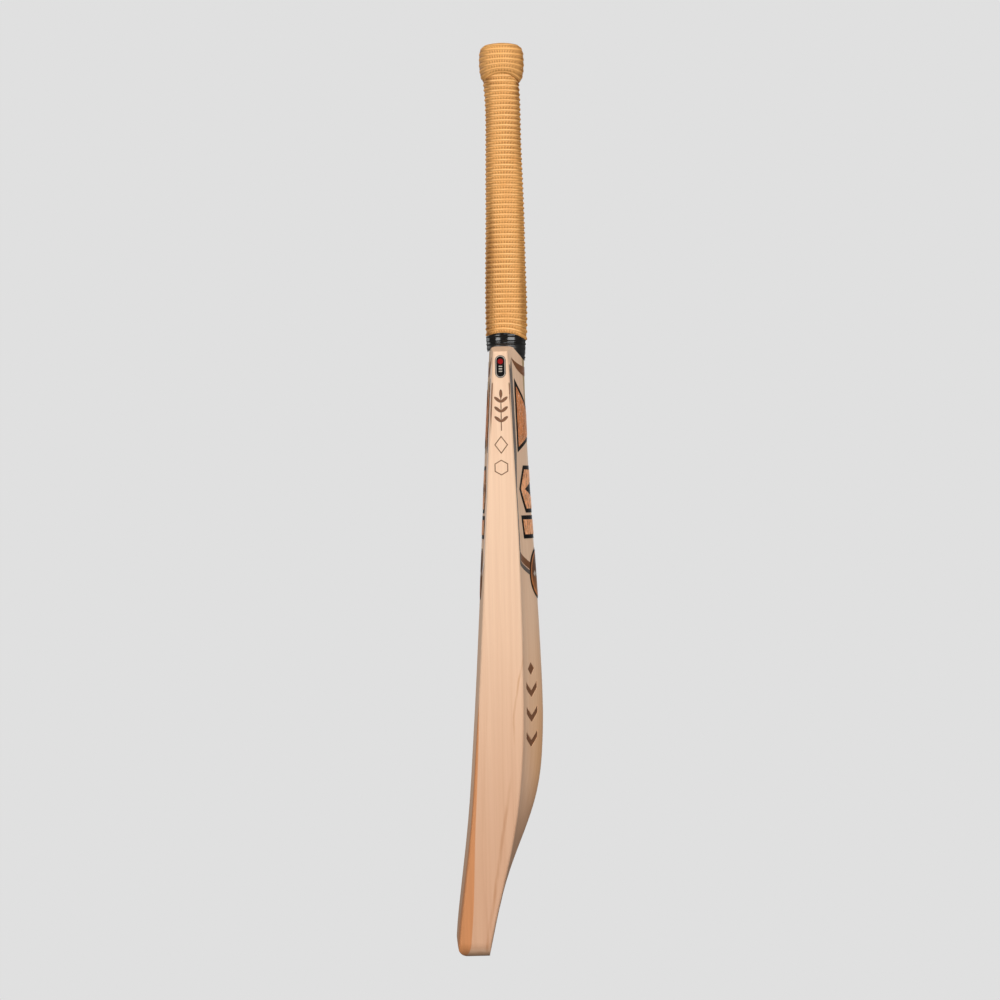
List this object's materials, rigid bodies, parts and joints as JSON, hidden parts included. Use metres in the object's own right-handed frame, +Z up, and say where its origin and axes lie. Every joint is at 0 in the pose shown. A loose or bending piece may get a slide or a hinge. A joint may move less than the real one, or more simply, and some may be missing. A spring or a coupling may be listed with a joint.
{
  "type": "cricket bat",
  "caption": "Full-size willow cricket bat with a bowed, swelled blade, a spliced cane handle in a ribbed rubber grip, a black throat binding and printed panels on its face and back.",
  "frame": {"origin": "middle of the toe's flat foot", "axes": "+Z up, along the handle's axis; +X across the blade; +Y from the hitting face to the back; -Y is the way the hitting face looks"},
  "size_m": [0.1085, 0.0848, 0.85],
  "materials": {
    "black_print": "satin",
    "brown_print": "satin",
    "taupe_print": "satin",
    "grey_print": "satin",
    "copper_print": "satin",
    "willow": "satin",
    "cane": "matte",
    "grip_rubber": "matte",
    "label_black": "gloss",
    "label_white": "gloss",
    "label_red": "gloss",
    "spring_rubber": "matte",
    "binding": "gloss",
    "twine": "matte"
  },
  "bodies": {
    "root": {"back_badge": "black_print", "back_badge_field": "brown_print", "back_band": "brown_print", "back_diagonal_left": "brown_print", "back_diagonal_right": "brown_print", "back_flash_left": "taupe_print", "back_flash_right": "taupe_print", "back_frame_left": "grey_print", "back_frame_right": "grey_print", "back_inlay_lower": "copper_print", "back_inlay_middle": "copper_print", "back_inlay_upper": "copper_print", "back_panel_lower": "black_print", "back_panel_middle": "black_print", "back_panel_upper": "black_print", "blade": "willow", "cane_stick_1_left": "cane", "cane_stick_1_middle": "cane", "cane_stick_1_right": "cane", "cane_stick_2_left": "cane", "cane_stick_2_middle": "cane", "cane_stick_2_right": "cane", "cane_stick_3_left": "cane", "cane_stick_3_middle": "cane", "cane_stick_3_right": "cane", "cane_stick_4_left": "cane", "cane_stick_4_middle": "cane", "cane_stick_4_right": "cane", "face_badge": "black_print", "face_badge_field": "brown_print", "face_band": "brown_print", "face_frame_left": "grey_print", "face_frame_right": "grey_print", "face_inlay_lower": "copper_print", "face_inlay_middle": "copper_print", "face_inlay_upper": "copper_print", "face_panel_lower": "black_print", "face_panel_middle": "black_print", "face_panel_upper": "black_print", "grip": "grip_rubber", "grip_collar": "grip_rubber", "label": "label_black", "label_bars": "label_white", "label_dot": "label_red", "label_ring": "label_white", "rubber_spring_1": "spring_rubber", "rubber_spring_2": "spring_rubber", "rubber_spring_3": "spring_rubber", "throat_binding": "binding", "twine_binding": "twine"}
  },
  "joints": []
}
